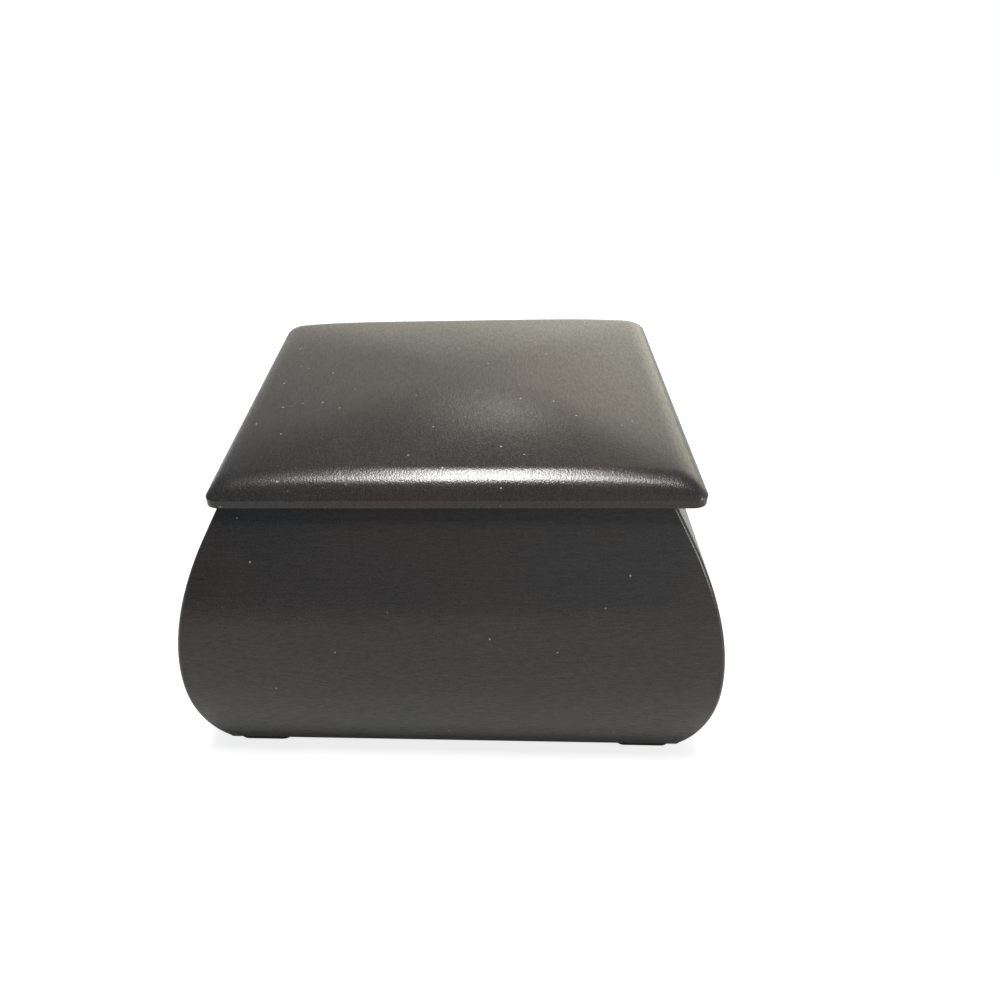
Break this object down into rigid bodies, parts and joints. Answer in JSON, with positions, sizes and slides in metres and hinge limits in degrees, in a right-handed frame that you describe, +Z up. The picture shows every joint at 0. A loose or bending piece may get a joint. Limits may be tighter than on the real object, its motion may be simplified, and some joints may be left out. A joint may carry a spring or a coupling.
{
  "type": "trinket box",
  "caption": "Small black lacquered wooden trinket box with swelling moulded sides, block feet, a hinged pillow-shaped lid and a velvet lining.",
  "frame": {"origin": "middle of the case's plan, on the surface that the feet stand on", "axes": "+X to the right seen from the front, +Y to the back where the hinges are, +Z up"},
  "size_m": [0.139, 0.1258, 0.0901],
  "materials": {
    "black_wood": "satin black lacquer over open-pored wood",
    "brass": "satin",
    "velvet": "short dark red pile"
  },
  "bodies": {
    "case": {"front_panel": "black_wood", "back_panel": "black_wood", "left_panel": "black_wood", "right_panel": "black_wood", "base_panel": "black_wood", "foot_front_left": "black_wood", "foot_front_right": "black_wood", "foot_back_left": "black_wood", "foot_back_right": "black_wood", "hinge_left_case_leaf": "brass", "hinge_left_pin": "brass", "hinge_left_case_screws": "brass", "hinge_right_case_leaf": "brass", "hinge_right_pin": "brass", "hinge_right_case_screws": "brass", "front_lining": "velvet", "back_lining": "velvet", "left_lining": "velvet", "right_lining": "velvet", "floor_cushion": "velvet"},
    "lid": {"lid_panel": "black_wood", "hinge_left_lid_leaf": "brass", "hinge_left_lid_screws": "brass", "hinge_right_lid_leaf": "brass", "hinge_right_lid_screws": "brass", "lid_cushion": "velvet"}
  },
  "joints": [
    {"name": "lid_hinge", "type": "hinge", "parent": "case", "child": "lid", "pos_m": [0, 0.04916, 0.0789], "axis": [-1, 0, 0], "range_deg": [0, 110]}
  ]
}
